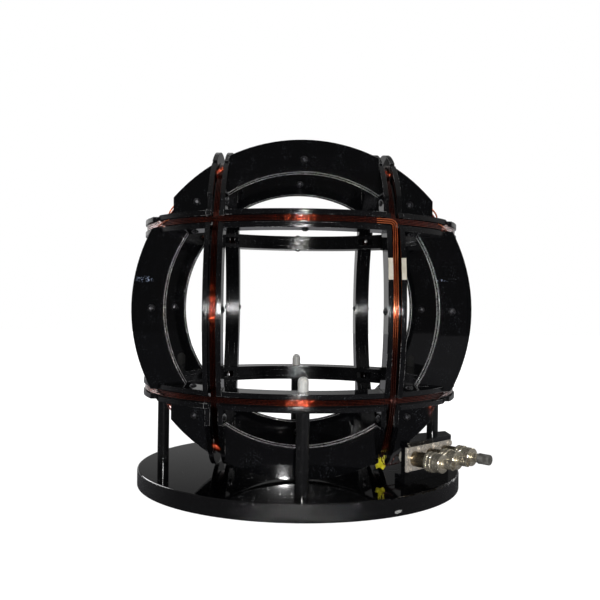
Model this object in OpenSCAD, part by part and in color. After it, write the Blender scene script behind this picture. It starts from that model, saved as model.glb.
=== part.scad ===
// Three-axis Helmholtz coil: three pairs of slotted ring formers on a round base, with a
// panel of three coaxial receptacles. The origin is the middle of the base's underside.
// The formers' common centre lies on +Z, and the panel stands at the front right (+X, -Y).

/* [Ring formers] */
// Outer diameter of a former
ring_d = 350; // [340:1:360]
// Width of a former's ring, from its bore to its rim
ring_width = 33; // [30:0.5:35]
// How much less a pair's spacing is than the formers' radius: about the windings' own radius
spacing_less = 2.5; // [0:0.5:5]
// Thickness of a flange plate
flange_t = 5; // [4:0.25:5.5]
// Width of the channel between the two flange plates
channel_w = 7.5; // [7:0.25:9]
// Depth of the deepest winding below the rim
winding_depth = 12; // [11.8:0.1:12.6]
// Step between the winding radii of the X, Y and Z coils, which lets them cross
winding_step = 4.9; // [4.8:0.05:5]
// Diameter of the enamelled wire
wire_d = 0.9; // [0.8:0.05:1]
// Distance between neighbouring turns
wire_pitch = 1.45; // [1.4:0.05:1.5]
// Turns in the outer layer of a winding
turns = 4; // [2:1:4]

/* [Former screws] */
// Distance of the screws from the outer rim
screw_inset = 20.5; // [19:0.5:23]
// Diameter of a button head
head_d = 8; // [7:0.1:8.6]
// Height of a button head
head_h = 2.2; // [1.8:0.1:2.6]
// Outer diameter of a barrel nut
barrel_d = 5.5; // [5:0.1:6]
// Thread diameter of the screw in a barrel nut
screw_d = 4; // [3:0.1:4.2]
// Key size of a button head's socket
key_af = 2.5; // [2:0.1:3]

/* [Base and posts] */
// Diameter of the base
base_d = 362; // [350:1:380]
// Thickness of the base
base_t = 18; // [15:0.5:25]
// Rounding of the base's upper edge
base_round = 2; // [0.5:0.5:4]
// Air between the base and the formers' lowest rims
base_air = 2; // [1:0.5:6]
// Diameter of a post
post_d = 13; // [11:0.5:14]
// Thread diameter of the studs and base screws
stud_d = 6; // [5:0.5:7]
// Depth that a stud or base screw goes into a post
stud_depth = 14; // [10:1:20]
// Diameter of a nylon cap
cap_d = 10.5; // [10:0.5:12]
// Height of a nylon cap
cap_h = 15; // [13:0.5:20]

/* [Connector panel] */
// Direction in which the connectors point, seen from above, in degrees from +X
panel_turn = -47; // [-50:1:-44]
// Gap between the panel's back and the nearest former's rim
panel_gap = 0.3; // [0.1:0.1:4]
// Sideways shift of the panel's middle
panel_shift = 47.5; // [45:0.5:50]
// Thickness of the panel, its top plate and its foot's edge margin
panel_t = 5; // [4:0.5:6]
// Distance between neighbouring receptacles
jack_pitch = 26; // [25.5:0.1:28]
// Side of a receptacle's square flange
jack_flange = 25; // [24:0.1:25.4]
// Thickness of a receptacle's flange
jack_flange_t = 3; // [2:0.5:4]
// Height of the receptacles' axes above the base
jack_height = 25; // [22:0.5:28]
// Depth of the foot block behind the panel
foot_depth = 12; // [10:0.5:14]
// Height of the foot block
foot_h = 8; // [7:0.5:9]

/* [Connectors] */
// Major diameter of the coupling thread
thread_d = 15.8; // [15:0.1:16.2]
// Length of a receptacle's barrel in front of its flange
barrel_l = 22.2; // [20:0.2:26]
// Outer diameter of a coupling nut's ridges
nut_d = 20.6; // [20:0.1:21.5]
// Length of a coupling nut
nut_l = 9; // [8:0.5:10]
// Diameter of the adapter's smooth barrel
adapter_d = 19; // [18:0.1:20]
// Length of the adapter's smooth barrel
adapter_l = 9.7; // [8:0.1:12]
// Outer diameter of a bayonet jack
bayonet_d = 9.6; // [9:0.1:10]
// Length of a bayonet jack
bayonet_l = 11.5; // [10:0.1:13]
// Distance of the bayonet lugs from the jack's mouth
lug_back = 5.2; // [4.5:0.1:6]
// Diameter of a bayonet lug
lug_d = 2; // [1.6:0.1:2.2]
// Distance across the tips of the two bayonet lugs
lug_span = 12.8; // [12:0.1:13.4]
// Outer diameter of the dust cap
dust_d = 11.2; // [11:0.1:12]
// Length of the dust cap
dust_l = 13; // [11:0.5:15]

/* [Leads and labels] */
// Diameter of a lead wire
lead_d = 1.2; // [1:0.1:1.4]
// Width of a label, along the rim
label_l = 21; // [15:1:25]
// Thickness of a label
label_t = 0.15; // [0.1:0.05:0.3]

/* [Hidden] */
$fn = 96;

// Running clearance of a shaft in a bore, on the diameter
run_play = 0.2;
// Play on each side of a plate in a slot
slot_play = 0.15;
// Clearance of a screw in its hole, on the diameter
screw_play = 0.4;
// Clearance of a thread in its tapped hole, on the diameter
thread_play = 0.1;
// Overlap of a cut past the face that it cuts
cut = 1;

// Former: radii, and distances from the common centre along a coil's own axis
ring_r = ring_d / 2;
bore_r = ring_r - ring_width;
coil_gap = ring_r - spacing_less;
mid = coil_gap / 2;
coil_t = 2 * flange_t + channel_w;
slab_in = mid - coil_t / 2;
slab_out = mid + coil_t / 2;
screw_r = ring_r - screw_inset;
// Where two formers cross, their slots meet near the middle of the shared width
cross_mid = (sqrt(ring_r * ring_r - mid * mid) + sqrt(bore_r * bore_r - mid * mid)) / 2;
slot_setback = 2;
relief_setback = 0.7;
slot_end = cross_mid - slot_setback;
relief_end = cross_mid + relief_setback;
// Windings: 24 chords to a turn, so a chord's middle lies this share inside the radius
chords = 24;
chord_share = cos(180 / chords);
wire_play = 0.2;
function winding_r(k) = ring_r - winding_depth + k * winding_step;
function core_r(k) = winding_r(k) * chord_share - wire_d / 2 - wire_play;
// Bottom of the notch that lets the winding of coil k pass through another coil's plate
function notch_end(k) = let (r = core_r(k) - wire_play)
    sqrt(r * r - slab_out * slab_out) - wire_play;
hub_step = 1.5;
hub_r = bore_r + hub_step;
rod_share = 0.6;

// Heights above the base's underside
centre_z = base_t + base_air + ring_r;
lower_z = centre_z - slab_out;
post_l = lower_z - base_t;

// Panel: places along its normal, from the vertical axis. Its top edge passes the rim of the
// front Y coil, whose half width at a height is rim_x
axis_z = base_t + jack_height;
panel_w = 2 * jack_pitch + jack_flange;
panel_h = jack_height + jack_flange / 2;
function rim_x(z) = sqrt(ring_r * ring_r - pow(centre_z - z, 2));
panel_back = rim_x(base_t + panel_h) * cos(panel_turn) - slab_out * sin(panel_turn) + panel_gap;
panel_reach = panel_back + panel_t;
flange_face = panel_reach + jack_flange_t;
hole_pitch = jack_flange * 0.73;
small_screw_d = 3;
small_head_d = 5.5;
small_head_h = 1.9;

// Connector: places along its axis, from the receptacle flange's front face
nut_start = barrel_l - nut_l * 0.58;
nut_end = nut_start + nut_l;
lip_t = 1.8;
collar_gap = 0.2;
collar_step = 0.6;
collar_start = barrel_l + collar_gap;
collar_end = nut_end - lip_t - collar_gap;
collar_d = thread_d - collar_step;
neck_d = 12.8;
nut_gap = 0.3;
barrel_start = nut_end + nut_gap;
barrel_end = barrel_start + adapter_l;
jack_end = barrel_end + bayonet_l;
lug_at = jack_end - lug_back;
dust_gap = 0.4;
dust_start = lug_at + lug_d / 2 + dust_gap;
dust_end_t = 1.6;
nose_d = 8.4;
nose_l = 8;
rear_d = 12;
rear_l = 8;
cup_d = 2.6;
cup_l = 5;
pin_d = 1.6;
socket_d = 3;

// Turns the drawing so that its Z becomes the coil's axis: 0 is X, 1 is Y, 2 is Z
module on_axis(k) {
    translate([0, 0, centre_z])
        rotate(k == 0 ? [90, 0, 90] : k == 1 ? [90, 0, 0] : [0, 0, 0])
            children();
}

// Repeats a shape on both sides of a drawing's vertical middle line
module both_sides() {
    children();
    mirror([1, 0]) children();
}

// The cuts in a plate of coil k for coil m, which crosses it at x = +-mid, at both ends
module crossing(k, m) {
    from_outside = m < k;
    low = from_outside ? slot_end - slot_play : bore_r / 2;
    high = from_outside ? ring_r + cut : slot_end + slot_play;
    slot_w = flange_t + 2 * slot_play;
    both_sides() for (turn = [0, 180]) rotate(turn) {
        for (x = [slab_in, slab_out - flange_t])
            translate([x - slot_play, low]) square([slot_w, high - low]);
        translate([slab_in + flange_t, notch_end(m)])
            square([channel_w, ring_r - notch_end(m) + cut]);
    }
}

// The open corner beyond a crossing, where the X and Y plates' rims are cut back
module relief() {
    both_sides() for (turn = [0, 1]) mirror([0, turn])
        translate([relief_end, slab_out]) square([ring_r - relief_end, ring_r - slab_out]);
}

// Outline of one flange plate of coil k
module flange_outline(k) {
    difference() {
        circle(ring_r, $fn = 180);
        circle(bore_r, $fn = 180);
        crossing(k, k == 0 ? 1 : 0);
        rotate(90) crossing(k, k == 2 ? 1 : 2);
        if (k < 2) relief();
        for (a = [0:45:315]) rotate(a)
            translate([screw_r, 0])
                circle(d = (k == 2 && a % 90 == 0 ? max(barrel_d, stud_d) : barrel_d) + screw_play);
    }
}

// One flange plate of coil k on the given side: the outer one is farther from the centre
module flange(k, side, outer) {
    low = outer ? slab_out - flange_t : slab_in;
    on_axis(k) mirror([0, 0, side < 0 ? 1 : 0])
        translate([0, 0, low])
            linear_extrude(flange_t) flange_outline(k);
}

// The spacer arcs between the plates, left out where other formers pass
module spacers(k, side) {
    gap_in = slab_in - slot_play * 2;
    gap_w = coil_t + slot_play * 4;
    on_axis(k) mirror([0, 0, side < 0 ? 1 : 0])
        translate([0, 0, slab_in + flange_t])
            linear_extrude(channel_w) difference() {
                circle(core_r(k), $fn = 180);
                circle(hub_r, $fn = 180);
                for (turn = [0, 90, 180, 270]) rotate(turn)
                    translate([gap_in, -ring_r]) square([gap_w, ring_d]);
                for (a = [0:45:315]) rotate(a)
                    translate([screw_r, 0])
                        circle(d = (k == 2 && a % 90 == 0 ? max(barrel_d, stud_d) : barrel_d)
                            + screw_play);
            }
}

// A button head with its socket, standing on z = 0
module button_head() {
    dome_r = (head_d * head_d / 4 + head_h * head_h) / (2 * head_h);
    difference() {
        intersection() {
            translate([0, 0, head_h - dome_r]) sphere(dome_r);
            cylinder(d = head_d + cut, h = head_h);
        }
        translate([0, 0, head_h * 0.45]) cylinder(d = key_af / cos(30), h = head_h, $fn = 6);
    }
}

// A screw from one face of the former and a barrel nut from the other
module screw_pair() {
    screw_l = coil_t * 0.7;
    translate([0, 0, coil_t / 2]) {
        button_head();
        translate([0, 0, -screw_l]) cylinder(d = screw_d, h = screw_l);
    }
    translate([0, 0, -coil_t / 2]) {
        mirror([0, 0, 1]) button_head();
        difference() {
            cylinder(d = barrel_d, h = coil_t - thread_play);
            translate([0, 0, flange_t / 2])
                cylinder(d = screw_d + thread_play, h = coil_t);
        }
    }
}

// All screws of one coil: the lower Z coil has studs in place of every other one
module former_screws(k, side) {
    step = (k == 2 && side < 0) ? 90 : 45;
    first = (k == 2 && side < 0) ? 45 : 0;
    color("silver") on_axis(k)
        translate([0, 0, side * mid])
            for (a = [first:step:359]) rotate(a)
                translate([screw_r, 0, 0]) screw_pair();
}

// Tube round a list of points that bend in planes along z: each ring is mitred
function unit(v) = v / norm(v);
function way(p, i) = i == 0 ? unit(p[1] - p[0])
    : i == len(p) - 1 ? unit(p[i] - p[i - 1])
    : unit(unit(p[i] - p[i - 1]) + unit(p[i + 1] - p[i]));
function stretch(p, i) = i == 0 || i == len(p) - 1 ? 1
    : 1 / max(0.6, way(p, i) * unit(p[i] - p[i - 1]));
function tube_ring(p, i, r, sides, up) = let (
        t = way(p, i),
        m = unit(cross(up, t)),
        b = cross(t, m)
    ) [for (j = [0:sides - 1]) let (a = 360 * (j + 0.5) / sides)
        p[i] + r * (cos(a) * stretch(p, i) * m + sin(a) * b)];

module tube(p, r, sides, up = [0, 0, 1]) {
    n = len(p);
    points = [for (i = [0:n - 1]) each tube_ring(p, i, r, sides, up)];
    skin = [for (i = [0:n - 2], j = [0:sides - 1]) let (
            a = i * sides + j,
            b = i * sides + (j + 1) % sides
        ) each [[a, b, b + sides], [a, b + sides, a + sides]]];
    start = [for (j = [1:sides - 2]) [0, j + 1, j]];
    last = (n - 1) * sides;
    end = [for (j = [1:sides - 2]) [last, last + j, last + j + 1]];
    polyhedron(points, concat(skin, start, end));
}

// The wire of coil k: a helix of so many turns, both ends led straight in to the core
function helix(k) = let (
        r = winding_r(k),
        steps = turns * chords,
        rise = wire_pitch / chords,
        low = -turns * wire_pitch / 2,
        body = [for (i = [0:steps]) let (a = i * 360 / chords)
            [r * cos(a), r * sin(a), low + i * rise]]
    ) concat([[core_r(k), 0, low]], body, [[core_r(k), 0, -low]]);

// Least distance between points of neighbouring turns, less the wire
function turn_gap(p) = min([for (i = [1:len(p) - 2 - chords])
    norm(p[i + chords] - p[i])]) - wire_d;
for (k = [0:2]) echo(least_turn_gap = turn_gap(helix(k)), coil = k);

module winding(k, side) {
    color([0.62, 0.2, 0.08]) on_axis(k)
        translate([0, 0, side * mid])
            tube(helix(k), wire_d / 2, 6);
}

// Places the posts: front, right, rear and left
module at_post(a) {
    rotate(a) translate([screw_r, 0, 0]) children();
}

module base_plate() {
    color([0.04, 0.04, 0.045]) difference() {
        rotate_extrude($fn = 180) difference() {
            square([base_d / 2, base_t]);
            translate([base_d / 2 - base_round, base_t - base_round])
                difference() {
                    square(base_round + cut);
                    circle(base_round);
                }
        }
        for (a = [0:90:270]) at_post(a) countersunk(stud_d, base_t + cut, screw_play);
        foot_places() countersunk(screw_d, base_t + cut, screw_play);
    }
}

// A countersunk screw from the base's underside, or its hole when play is given
head_sink = 0.3;
touch = 0.001;

module countersunk(d, l, play = 0) {
    head = d * 0.5;
    translate([0, 0, head_sink]) cylinder(d1 = d * 2 + play, d2 = d + play, h = head);
    translate([0, 0, head_sink + head - touch])
        cylinder(d = d + play, h = l - head - head_sink);
    if (play > 0) translate([0, 0, -cut]) cylinder(d = d * 2 + play, h = head_sink + cut + touch);
}

// A turned post with a tapped hole in each end
module post(a) {
    color([0.05, 0.05, 0.055]) at_post(a) translate([0, 0, base_t]) difference() {
        cylinder(d = post_d, h = post_l);
        for (z = [-cut, post_l - stud_depth])
            translate([0, 0, z]) cylinder(d = stud_d + thread_play, h = stud_depth + cut);
    }
}

module post_studs() {
    below = stud_depth * 0.85;
    color("silver") for (a = [0:90:270]) at_post(a)
        translate([0, 0, lower_z - below])
            cylinder(d = stud_d, h = below + coil_t + cap_h * rod_share - thread_play);
}

module post_base_screws() {
    color("silver") for (a = [0:90:270]) at_post(a)
        countersunk(stud_d, base_t + stud_depth * 0.85);
}

// A bullet-shaped cap nut
module post_cap() {
    dome_r = cap_d / 2;
    difference() {
        union() {
            cylinder(d = cap_d, h = cap_h - dome_r);
            translate([0, 0, cap_h - dome_r]) sphere(dome_r);
        }
        translate([0, 0, -cut])
            cylinder(d = stud_d + thread_play, h = cap_h * rod_share + cut);
    }
}

module post_caps() {
    color("white") for (a = [0:90:270]) at_post(a)
        translate([0, 0, lower_z + coil_t]) post_cap();
}

// Panel frame: x runs out of the panel's front, y along it to the right, z up
module at_panel() {
    rotate(panel_turn) translate([0, panel_shift, 0]) children();
}

// Connector frame: z runs out along the axis of connector i, from its flange's front face
module at_jack(i) {
    at_panel() translate([flange_face, (i - 1) * jack_pitch, axis_z]) rotate([0, 90, 0])
        children();
}

module flange_holes() {
    for (x = [-1, 1], y = [-1, 1]) translate([x * hole_pitch / 2, y * hole_pitch / 2])
        children();
}

module connector_panel() {
    color([0.04, 0.04, 0.045]) difference() {
        at_panel() translate([panel_back, -panel_w / 2, base_t]) cube([panel_t, panel_w, panel_h]);
        for (i = [0:2]) at_jack(i) translate([0, 0, -jack_flange_t - panel_t - cut]) {
            cylinder(d = rear_d + screw_play, h = panel_t + 2 * cut);
            flange_holes() cylinder(d = small_screw_d + thread_play, h = panel_t + 2 * cut);
        }
    }
}

// Top plate: from the receptacles' flanges back to the right X coil's outer plate, notched
// round the front Y coil's rim
top_gap = 0.3;
top_back = 11;
top_flare = 16;
top_wall = 0.8;

module panel_top() {
    function spot(n, t) = let (side = panel_shift + t) [
        n * cos(panel_turn) - side * sin(panel_turn), n * sin(panel_turn) + side * cos(panel_turn)
    ];
    rim = rim_x(base_t + panel_h + panel_t) + top_gap;
    wall = slab_out + top_gap;
    color([0.04, 0.04, 0.045]) translate([0, 0, base_t + panel_h])
        linear_extrude(panel_t) difference() {
            polygon([
                spot(flange_face, -panel_w / 2), spot(flange_face, panel_w / 2),
                spot(panel_back - top_back, panel_w / 2 + top_flare),
                [wall, -top_wall * slab_in], [wall, top_gap - slab_in],
                spot(panel_back, -panel_w / 2)
            ]);
            translate([wall - cut, -wall])
                square([rim - wall + cut, coil_t + 2 * top_gap]);
        }
}

module panel_foot() {
    color([0.04, 0.04, 0.045]) difference() {
        at_panel() translate([panel_back - foot_depth, -panel_w / 2 + panel_t, base_t])
            cube([foot_depth, panel_w - 2 * panel_t, foot_h]);
        foot_places() translate([0, 0, base_t - cut])
            cylinder(d = screw_d + thread_play, h = foot_h * 0.8 + cut);
    }
}

module foot_places() {
    for (y = [-1, 1]) at_panel()
        translate([panel_back - foot_depth / 2, y * panel_w / 4, 0]) children();
}

module foot_screws() {
    color("silver") foot_places() countersunk(screw_d, base_t + foot_h * 0.7);
}

// Receptacle: square flange, threaded barrel in front, shell and solder cup behind
module receptacle() {
    difference() {
        union() {
            translate([-jack_flange / 2, -jack_flange / 2, -jack_flange_t])
                cube([jack_flange, jack_flange, jack_flange_t]);
            cylinder(d = thread_d, h = barrel_l);
            translate([0, 0, -jack_flange_t - panel_t - rear_l])
                cylinder(d = rear_d, h = panel_t + rear_l);
        }
        translate([0, 0, -jack_flange_t - panel_t - rear_l - cut])
            cylinder(d = nose_d + run_play, h = barrel_l + panel_t + rear_l + 4 * cut);
        flange_holes() translate([0, 0, -jack_flange_t - cut])
            cylinder(d = small_screw_d + screw_play, h = jack_flange_t + 2 * cut);
    }
}

module receptacles() {
    color([0.72, 0.7, 0.66]) for (i = [0:2]) at_jack(i) receptacle();
}

// The screws go into tapped holes in the panel and end just inside its back
module receptacle_screws() {
    grip = jack_flange_t + panel_t - head_sink;
    color("silver") for (i = [0:2]) at_jack(i) flange_holes() {
        cylinder(d = small_head_d, h = small_head_h);
        translate([0, 0, -grip]) cylinder(d = small_screw_d, h = grip + touch);
    }
}

// Places inside a receptacle, along its axis
back_end = -jack_flange_t - panel_t - rear_l;
bead_gap = 1;
socket_reach = 6;
pin_depth = 2;
bead_end = barrel_l - nose_l - bead_gap;
socket_end = bead_end + socket_reach;

module receptacle_insulators() {
    color("white") for (i = [0:2]) at_jack(i) difference() {
        translate([0, 0, back_end])
            cylinder(d = nose_d + run_play - thread_play, h = bead_end - back_end);
        translate([0, 0, back_end - cut])
            cylinder(d = socket_d + thread_play, h = bead_end - back_end + 2 * cut);
    }
}

module receptacle_contacts() {
    color("gold") for (i = [0:2]) at_jack(i) difference() {
        union() {
            translate([0, 0, back_end]) cylinder(d = socket_d, h = socket_end - back_end);
            translate([0, 0, back_end - cup_l]) cylinder(d = cup_d, h = cup_l);
        }
        translate([0, 0, bead_end - pin_depth])
            cylinder(d = pin_d + run_play, h = socket_end - bead_end + pin_depth + cut);
    }
}

// Adapter: nose in the receptacle, collar behind the nut's lip, smooth barrel, bayonet jack
bayonet_wall = 0.7;
nose_wall = 0.6;
nose_bore = nose_d - 2 * nose_wall;

module adapter(i) {
    bayonet_bore = bayonet_d - 2 * bayonet_wall;
    nose_end = barrel_l - nose_l;
    color([0.72, 0.7, 0.66]) at_jack(i) {
        difference() {
            union() {
                translate([0, 0, nose_end]) cylinder(d = nose_d, h = nose_l + collar_gap);
                translate([0, 0, collar_start])
                    cylinder(d = collar_d, h = collar_end - collar_start);
                translate([0, 0, collar_end - 0.01])
                    cylinder(d = neck_d, h = barrel_start - collar_end + 0.02);
                translate([0, 0, barrel_start]) cylinder(d = adapter_d, h = adapter_l);
                translate([0, 0, barrel_end - 0.01])
                    cylinder(d = bayonet_d, h = bayonet_l + 0.01);
                translate([0, 0, lug_at]) rotate([90, 0, 45])
                    translate([0, 0, -lug_span / 2]) cylinder(d = lug_d, h = lug_span);
            }
            translate([0, 0, nose_end - cut])
                cylinder(d = nose_bore, h = jack_end - nose_end + 2 * cut);
            translate([0, 0, barrel_end])
                cylinder(d = bayonet_bore, h = bayonet_l + cut);
        }
    }
}

// What an adapter holds: an insulator and a contact with a pin behind and a socket in front
module adapter_core(i) {
    at_jack(i) {
        color("white") difference() {
            translate([0, 0, collar_start])
                cylinder(d = nose_bore - thread_play, h = barrel_end - collar_start);
            translate([0, 0, collar_start - cut])
                cylinder(d = socket_d + thread_play, h = barrel_end - collar_start + 2 * cut);
        }
        color("gold") difference() {
            union() {
                translate([0, 0, bead_end + cut]) cylinder(d = pin_d, h = collar_start - bead_end);
                translate([0, 0, collar_start])
                    cylinder(d = socket_d, h = barrel_end - collar_start + bayonet_l / 2);
            }
            translate([0, 0, barrel_end + bayonet_l / 4])
                cylinder(d = pin_d, h = bayonet_l);
        }
    }
}

// Coupling nut: two knurled ridges with a groove between them, and a lip behind the collar
knurls = 36;
knurl_side = 1;
knurl_out = 0.35;
ridge_edge = 0.6;

module coupling_nut(i) {
    ridge = nut_l * 0.36;
    color([0.7, 0.68, 0.64]) at_jack(i) translate([0, 0, nut_start]) difference() {
        union() {
            cylinder(d = adapter_d, h = nut_l);
            for (z = [ridge_edge, nut_l - ridge - ridge_edge]) translate([0, 0, z])
                cylinder(d = nut_d, h = ridge);
        }
        translate([0, 0, -cut])
            cylinder(d = thread_d + run_play, h = nut_l - lip_t + cut);
        cylinder(d = neck_d + 2 * run_play, h = nut_l + cut);
        for (j = [0:knurls - 1]) rotate(j * 360 / knurls)
            translate([nut_d / 2 + knurl_out, 0, ridge_edge]) rotate(45)
                translate([-knurl_side / 2, -knurl_side / 2, 0])
                    cube([knurl_side, knurl_side, ridge]);
    }
}

module dust_cap() {
    color([0.42, 0.44, 0.45]) at_jack(2) translate([0, 0, dust_start]) difference() {
        cylinder(d = dust_d, h = dust_l);
        translate([0, 0, -cut])
            cylinder(d = bayonet_d + run_play, h = dust_l - dust_end_t + cut);
    }
}

// Leads. The first leaves the upper Z coil, passes over the windings that cross the right X
// coil's channel, lies on its winding between them and goes on to the nearest receptacle.
// The other two start in the tape.
rim_play = 0.3;
lead_r = ring_r - rim_play - lead_d / 2;
upper_z = centre_z + mid;
lead_on_r = winding_r(0) + wire_d / 2 + wire_play + lead_d / 2;
bundle_half = (turns * wire_pitch + wire_d) / 2 + wire_play + lead_d / 2;
function over(k) = sqrt(pow(winding_r(k) + wire_d / 2 + wire_play, 2)
    - pow(mid - lead_d / 2, 2)) + lead_d / 2;
function z_rim(a) = [lead_r * cos(a), lead_r * sin(a), upper_z];
function x_way(y, z) = [mid, y, centre_z + z];
// Angle from a place on the way, seen from the right X coil's axis, to where it meets the winding
function dip(y, z) = acos(lead_on_r / norm([y, z]));
cross_z = mid - bundle_half;
on_from = atan2(cross_z, over(2)) - dip(over(2), cross_z);
on_steps = 6;
// A point on the axis of receptacle i, so far behind its solder cup
function behind_cup(i, back) = let (
        n = flange_face + back_end - cup_l - back,
        t = panel_shift + (i - 1) * jack_pitch
    ) [n * cos(panel_turn) - t * sin(panel_turn), n * sin(panel_turn) + t * cos(panel_turn), axis_z];
lead_routes = [
    concat(
        [for (a = [-70:2.4:-62.8]) z_rim(a)],
        [[83.2, -153.2, upper_z - 0.4], [85.5, -152.6, upper_z - 2.4], x_way(-over(2), cross_z)],
        [for (i = [0:on_steps]) let (a = on_from * (1 - 2 * i / on_steps))
            x_way(-lead_on_r * cos(a), lead_on_r * sin(a))],
        [x_way(-over(2), -cross_z), x_way(-over(2), -mid - bundle_half),
            x_way(-mid - bundle_half, -over(1)), x_way(-cross_z, -over(1))],
        [[86.3, -77, 37.6], [87.5, -76.5, 34.2], [91, -77, 32.8], [96, -77.5, 34.5],
            [98.8, -76, 39], behind_cup(0, 3.5), behind_cup(0, 1.5), behind_cup(0, 0)]),
    concat(
        [[88.2, -74.5, 42], [88.2, -74.5, 38], [89.5, -73.5, 33.5], [96, -69, 31.5],
            [108, -58.5, 34], [114, -53.5, 39]],
        [behind_cup(1, 6), behind_cup(1, 2), behind_cup(1, 0)]),
    concat(
        [[84.2, -74.5, 42], [84.2, -74.5, 38], [84.8, -73, 33], [90, -66, 30], [106, -54, 29.5],
            [122, -41.5, 32], [131, -35.5, 38]],
        [behind_cup(2, 6), behind_cup(2, 2), behind_cup(2, 0)])
];

module lead_wires() {
    color([0.6, 0.18, 0.08]) for (route = lead_routes) tube(route, lead_d / 2, 8, [0.9, 0.1, 0.4]);
}

// Yellow tape folded round the leads: a tab inside the X channel over a wider loose flag
tape_y = -74.6;
tape_t = 1.4;
tape_low = 27;
tape_step = 34;
tape_top = 42.4;
tape_margin = 0.6;

module tape_flag() {
    left = slab_in + flange_t + tape_margin;
    right = slab_out - flange_t - tape_margin;
    color("gold") translate([0, tape_y + tape_t / 2, 0]) rotate([90, 0, 0])
        linear_extrude(tape_t) polygon([
            [left, tape_top], [left, tape_step], [left - 3.6, tape_step - 2],
            [left - 2.2, tape_low + 1], [left + 2, tape_low + 2.2], [right - 1.5, tape_low],
            [right + 1, tape_low + 3], [right, tape_step], [right, tape_top]
        ]);
}

// Blank labels on the rims of the right X coil's two plates, so many degrees above its middle
label_up = 13.35;
label_margin = 0.3;

module rim_labels() {
    span = label_l / ring_r * 180 / PI;
    color([0.93, 0.91, 0.84]) on_axis(0)
        for (x = [slab_in, slab_out - flange_t]) translate([0, 0, x + label_margin])
            rotate(180 - span / 2 - label_up)
                rotate_extrude(angle = span)
                    translate([ring_r + 0.01, 0])
                        square([label_t, flange_t - 2 * label_margin]);
}

base_plate();
post(270);  // post_front
post(0);  // post_right
post(90);  // post_rear
post(180);  // post_left
post_studs();
post_base_screws();
post_caps();
connector_panel();
panel_top();
panel_foot();
foot_screws();
receptacles();
receptacle_screws();
receptacle_insulators();
receptacle_contacts();
for (i = [0:2]) {
    adapter(i);
    coupling_nut(i);
    adapter_core(i);
}
dust_cap();
lead_wires();
tape_flag();
rim_labels();

// The six coils: name, axis and side of the centre. The Y drawing's axis points to -Y
coils = [
    ["x_left", 0, -1], ["x_right", 0, 1], ["y_front", 1, 1], ["y_rear", 1, -1],
    ["z_lower", 2, -1], ["z_upper", 2, 1]
];
for (c = coils) {
    color([0.045, 0.045, 0.05]) flange(c[1], c[2], true);
    color([0.045, 0.045, 0.05]) flange(c[1], c[2], false);
    color([0.06, 0.06, 0.065]) spacers(c[1], c[2]);
    former_screws(c[1], c[2]);
    winding(c[1], c[2]);
}
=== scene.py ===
import math

import bmesh
import bpy
from mathutils import Matrix, Vector, noise


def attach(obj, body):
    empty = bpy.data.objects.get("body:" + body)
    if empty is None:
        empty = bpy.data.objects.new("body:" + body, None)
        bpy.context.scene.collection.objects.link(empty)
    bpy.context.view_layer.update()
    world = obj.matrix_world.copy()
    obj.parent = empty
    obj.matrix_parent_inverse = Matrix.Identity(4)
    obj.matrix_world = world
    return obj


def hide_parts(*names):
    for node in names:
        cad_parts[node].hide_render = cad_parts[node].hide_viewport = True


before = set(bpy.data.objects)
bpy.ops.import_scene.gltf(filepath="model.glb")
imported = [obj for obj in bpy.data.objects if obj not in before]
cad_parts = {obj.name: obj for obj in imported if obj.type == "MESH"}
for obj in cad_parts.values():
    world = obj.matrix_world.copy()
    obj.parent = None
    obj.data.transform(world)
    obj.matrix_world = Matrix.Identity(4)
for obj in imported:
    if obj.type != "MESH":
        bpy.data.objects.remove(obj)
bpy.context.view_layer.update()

# Base plate: a disc of black acrylic 18 mm thick, faced and turned on a lathe. The top has
# the sheet's polish, the side keeps fine turning lines, and its lower edge is chipped.
MM = 0.001


class Signal:
    """One output of a node in a material. Sums of signals and numbers add Math nodes."""

    def __init__(self, tree, output=None):
        self.tree = tree
        self.output = output

    def node(self, kind, settings, inputs, output=0):
        """A new node of this kind. Its settings come first, as they can change its sockets."""
        made = self.tree.nodes.new(kind)
        for key, value in settings.items():
            setattr(made, key, value)
        for key, value in inputs.items():
            if isinstance(value, Signal):
                self.tree.links.new(value.output, made.inputs[key])
            else:
                made.inputs[key].default_value = value
        return Signal(self.tree, made.outputs[output])

    def maths(self, operation, a, b):
        return self.node("ShaderNodeMath", {"operation": operation}, {0: a, 1: b})

    def __add__(self, other):
        return self.maths("ADD", self, other)

    def __radd__(self, other):
        return self.maths("ADD", other, self)

    def __sub__(self, other):
        return self.maths("SUBTRACT", self, other)

    def __rsub__(self, other):
        return self.maths("SUBTRACT", other, self)

    def __mul__(self, other):
        return self.maths("MULTIPLY", self, other)

    def __rmul__(self, other):
        return self.maths("MULTIPLY", other, self)

    def ramp(self, low, high):
        """0 below low, 1 above high, and a smooth rise between them."""
        settings = {"interpolation_type": "SMOOTHSTEP"}
        return self.node("ShaderNodeMapRange", settings, {0: self, 1: low, 2: high})

    def stretched(self, scale):
        return self.node("ShaderNodeMapping", {}, {"Vector": self, "Scale": scale})

    def noise(self, scale, detail=2.0, roughness=0.5):
        return self.node("ShaderNodeTexNoise", {},
                         {"Vector": self, "Scale": scale, "Detail": detail,
                          "Roughness": roughness})

    def mix(self, low, high):
        """The colour low where this signal is 0, and high where it is 1."""
        settings = {"data_type": "RGBA"}
        return self.node("ShaderNodeMix", settings, {0: self, 6: low, 7: high}, 2)

    def bump(self, strength, depth):
        return self.node("ShaderNodeBump", {},
                         {"Height": self, "Strength": strength, "Distance": depth})


def start_paint(name):
    """A new material and the place on the object that its pattern reads."""
    paint = bpy.data.materials.new(name)
    paint.use_nodes = True
    place = Signal(paint.node_tree).node("ShaderNodeTexCoord", {}, {}, "Object")
    return paint, place


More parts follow.
